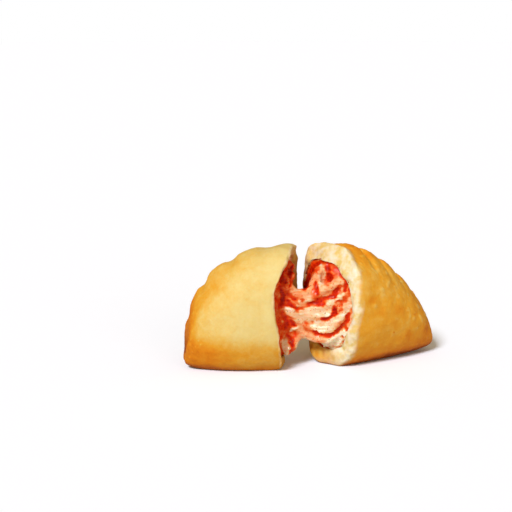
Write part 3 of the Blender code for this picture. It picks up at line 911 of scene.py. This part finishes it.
def ramp(tree, factor, stops):
    """A colour that runs through stops, each a place from 0 to 1 with its colour."""
    node = tree.nodes.new("ShaderNodeValToRGB")
    band = node.color_ramp
    while len(band.elements) < len(stops):
        band.elements.new(0.5)
    for element, (position, colour) in zip(band.elements, stops):
        element.position = position
        element.color = (*colour, 1.0)
    connect(tree, node.inputs["Fac"], factor)
    return node.outputs["Color"]


def blend(tree, factor, first, second):
    """A mix of two colours. The mix node's sockets for colours are found by number, as their names repeat."""
    node = tree.nodes.new("ShaderNodeMix")
    node.data_type = "RGBA"
    connect(tree, node.inputs["Factor"], factor)
    connect(tree, node.inputs[6], first)
    connect(tree, node.inputs[7], second)
    return node.outputs[2]


def bump(tree, height, distance, strength):
    """Fine relief in the shading only, from a height of 0 to 1 and a distance in millimetres."""
    node = tree.nodes.new("ShaderNodeBump")
    node.inputs["Strength"].default_value = strength
    node.inputs["Distance"].default_value = distance * MM
    connect(tree, node.inputs["Height"], height)
    return node.outputs["Normal"]


def screen(red, green, blue, share=SURFACE_SHARE):
    """A linear surface colour from one seen on a screen, each part from 0 to 255.

    The surface takes a share of it, because the lights together make a white surface brighter than white.
    """
    return tuple(share * ((part / 255 + 0.055) / 1.055) ** 2.4 for part in (red, green, blue))


def dough_material(name, skin_share):
    """Fried dough. The skin's share says how light the colours of its skin are."""
    made, tree, shader = new_material(name)
    bake_and_painted_light = attribute_node(tree, "bake_and_painted_light")
    crumb = attribute_node(tree, "crumb")
    bare = attribute_node(tree, "bare")
    stain = attribute_node(tree, "stain")
    bubble = attribute_node(tree, "bubble")

    # Skin, mottled, and a little paler near the torn edge. The browning it reads holds painted shade low down
    # and painted highlights on the blisters.
    mottle = maths(tree, "MULTIPLY_ADD", noise_node(tree, 4.0, 5.0, 0.5), 0.26, -0.13)
    grain = maths(tree, "MULTIPLY_ADD", noise_node(tree, 0.9, 3.0), 0.16, -0.08)
    browned_and_painted_light = maths(tree, "ADD", bake_and_painted_light, mottle)
    browned_and_painted_light = maths(tree, "ADD", browned_and_painted_light, grain)
    browned_and_painted_light = maths(tree, "SUBTRACT", browned_and_painted_light, maths(tree, "MULTIPLY", bare, 0.05), clamp=True)
    skin = ramp(tree, browned_and_painted_light, (
        (0.0, screen(240, 223, 154, skin_share)),
        (0.16, screen(238, 213, 134, skin_share)),
        (0.34, screen(236, 194, 96, skin_share)),
        (0.52, screen(234, 168, 46, skin_share)),
        (0.7, screen(228, 140, 18, skin_share)),
        (0.85, screen(202, 110, 10, skin_share)),
        (1.0, screen(152, 70, 2, skin_share)),
    ))

    # Torn crumb, cream-coloured, and darker and browner along its darkening line
    torn = ramp(tree, noise_node(tree, 3.2, 4.0), (
        (0.34, screen(236, 208, 126)),
        (0.5, screen(246, 231, 184)),
        (0.66, screen(253, 246, 222)),
    ))
    torn = blend(tree, stain, torn, ramp(tree, noise_node(tree, 2.4, 3.0), (
        (0.35, screen(222, 150, 38)),
        (0.7, screen(240, 190, 84)),
    )))
    tree.links.new(blend(tree, crumb, skin, torn), shader.inputs["Base Color"])

    # The crumb is duller than the skin, the blisters are shinier, and pores roughen both
    rough = maths(tree, "MULTIPLY_ADD", crumb, 0.2, 0.62)
    rough = maths(tree, "SUBTRACT", rough, maths(tree, "MULTIPLY", bubble, 0.25))
    tree.links.new(rough, shader.inputs["Roughness"])
    shader.inputs["IOR"].default_value = 1.25
    shader.inputs["Specular IOR Level"].default_value = 0.5
    shader.inputs["Subsurface Weight"].default_value = 0.12
    shader.inputs["Subsurface Radius"].default_value = (1.0, 0.5, 0.2)
    shader.inputs["Subsurface Scale"].default_value = LIGHT_DEPTH * MM
    depth = maths(tree, "MULTIPLY_ADD", crumb, 0.7, 0.5)
    pores = maths(tree, "MULTIPLY", noise_node(tree, 0.55, 4.0), depth)
    tree.links.new(bump(tree, pores, 0.35, 0.5), shader.inputs["Normal"])
    return made


def filling_material():
    """Melted cheese and tomato sauce, from white over peach to dark red, with red specks, and wet."""
    made, tree, shader = new_material("cheese_and_tomato")
    sauce = attribute_node(tree, "sauce")
    stain = maths(tree, "MULTIPLY_ADD", noise_node(tree, 1.4, 4.0, 0.6), 0.2, -0.1)
    specks = ramp(tree, noise_node(tree, 0.8, 2.0, 0.4), ((0.6, (0.0, 0.0, 0.0)), (0.72, (0.3, 0.3, 0.3))))
    mixed = maths(tree, "ADD", maths(tree, "ADD", sauce, stain), specks, clamp=True)
    colour = ramp(tree, mixed, (
        # The whitest stop also colours the painted highlights and the band lifted out of shade
        (0.0, screen(255, 246, 222, WHITE_CHEESE_AND_HIGHLIGHT_SHARE)),
        (0.12, screen(253, 222, 182)),
        (0.25, screen(252, 194, 142)),
        (0.38, screen(248, 150, 90)),
        (0.52, screen(238, 100, 34)),
        (0.68, screen(238, 68, 4)),
        (0.84, screen(222, 42, 0)),
        (1.0, screen(176, 16, 0)),
    ))
    tree.links.new(colour, shader.inputs["Base Color"])
    shader.inputs["Roughness"].default_value = 0.4
    shader.inputs["Specular IOR Level"].default_value = 0.05
    shader.inputs["Coat Weight"].default_value = 0.16
    shader.inputs["Coat Roughness"].default_value = 0.06
    shader.inputs["Subsurface Weight"].default_value = 0.6
    shader.inputs["Subsurface Radius"].default_value = (1.0, 0.4, 0.2)
    shader.inputs["Subsurface Scale"].default_value = LIGHT_DEPTH * MM
    tree.links.new(bump(tree, noise_node(tree, 0.7, 3.0), 0.25, 0.4), shader.inputs["Normal"])
    return made


def herb_material():
    """Dried herb, unevenly brown."""
    made, tree, shader = new_material("dried_herb")
    leaf = ramp(tree, noise_node(tree, 0.25, 2.0), (
        (0.4, screen(134, 104, 38)),
        (0.6, screen(178, 120, 50)),
    ))
    tree.links.new(leaf, shader.inputs["Base Color"])
    shader.inputs["Roughness"].default_value = 0.6
    return made


def floor_material():
    """A pale, dull table that looks white to the camera and throws a softer, warmer light at the dough."""
    made, tree, shader = new_material("pale_table")
    ray = tree.nodes.new("ShaderNodeLightPath")
    tone = blend(tree, ray.outputs["Is Camera Ray"], FLOOR_LIGHTING, FLOOR_SEEN)
    tree.links.new(tone, shader.inputs["Base Color"])
    shader.inputs["Roughness"].default_value = 0.8
    shader.inputs["Specular IOR Level"].default_value = 0.0
    return made


def add_floor():
    """A wide round table top at the height of zero, which isn't part of the object."""
    mesh = bpy.data.meshes.new("table_top")
    work = bmesh.new()
    bmesh.ops.create_circle(work, cap_ends=True, segments=96, radius=FLOOR_RADIUS * MM)
    work.to_mesh(mesh)
    work.free()
    add_object("table_top", mesh, floor_material())


def add_sun(name, place, spread, strength, colour):
    """A distant light that shines from a place towards the origin."""
    data = bpy.data.lights.new(name, "SUN")
    data.angle = math.radians(spread)
    data.energy = strength
    data.color = colour
    lamp = bpy.data.objects.new(name, data)
    lamp.location = place
    lamp.rotation_euler = (-lamp.location).to_track_quat("-Z", "Y").to_euler()
    bpy.context.scene.collection.objects.link(lamp)


def add_sky():
    """Even light from all round. Glossy surfaces reflect less of it, and the camera sees a white backdrop."""
    world = bpy.data.worlds.new("studio")
    world.use_nodes = True
    tree = world.node_tree
    ray = tree.nodes.new("ShaderNodeLightPath")
    sky = tree.nodes["Background"]
    sky.inputs["Color"].default_value = SKY_COLOUR
    change = REFLECTED_SKY - SKY_STRENGTH
    strength = maths(tree, "MULTIPLY_ADD", ray.outputs["Is Glossy Ray"], change, SKY_STRENGTH)
    tree.links.new(strength, sky.inputs["Strength"])
    backdrop = tree.nodes.new("ShaderNodeBackground")
    backdrop.inputs["Color"].default_value = BACKDROP_COLOUR
    mix = tree.nodes.new("ShaderNodeMixShader")
    tree.links.new(ray.outputs["Is Camera Ray"], mix.inputs["Fac"])
    tree.links.new(sky.outputs[0], mix.inputs[1])
    tree.links.new(backdrop.outputs[0], mix.inputs[2])
    tree.links.new(mix.outputs[0], tree.nodes["World Output"].inputs["Surface"])
    bpy.context.scene.world = world


def add_camera():
    data = bpy.data.cameras.new("camera")
    data.lens = CAMERA_LENS
    data.sensor_width = CAMERA_SENSOR
    data.clip_start = CAMERA_NEAR * MM
    camera = bpy.data.objects.new("camera", data)
    pitch = math.radians(CAMERA_PITCH)
    forward = Vector((0.0, math.cos(pitch), -math.sin(pitch)))
    camera.location = (Vector(CAMERA_AIM) - CAMERA_DISTANCE * forward) * MM
    camera.rotation_euler = (math.pi / 2 - pitch, 0.0, 0.0)
    bpy.context.scene.collection.objects.link(camera)
    bpy.context.scene.camera = camera


def main():
    bpy.context.scene.view_settings.view_transform = "Standard"
    add_camera()
    add_sky()
    for sun in SUNS:
        add_sun(*sun)
    add_floor()
    left = crust(LEFT, dough_material("pale_dough", PALE_SKIN_SHARE))
    right = crust(RIGHT, dough_material("golden_dough", GOLDEN_SKIN_SHARE))
    middle = filling(filling_material())
    for piece, node, slot in ((left, "crust_left", "crust_pale"), (right, "crust_right", "crust_golden"),
                              (middle, "filling", "filling")):
        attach(piece, "root")
        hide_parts(node)
    herbs = flecks(middle, herb_material())
    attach(herbs, "root")


main()
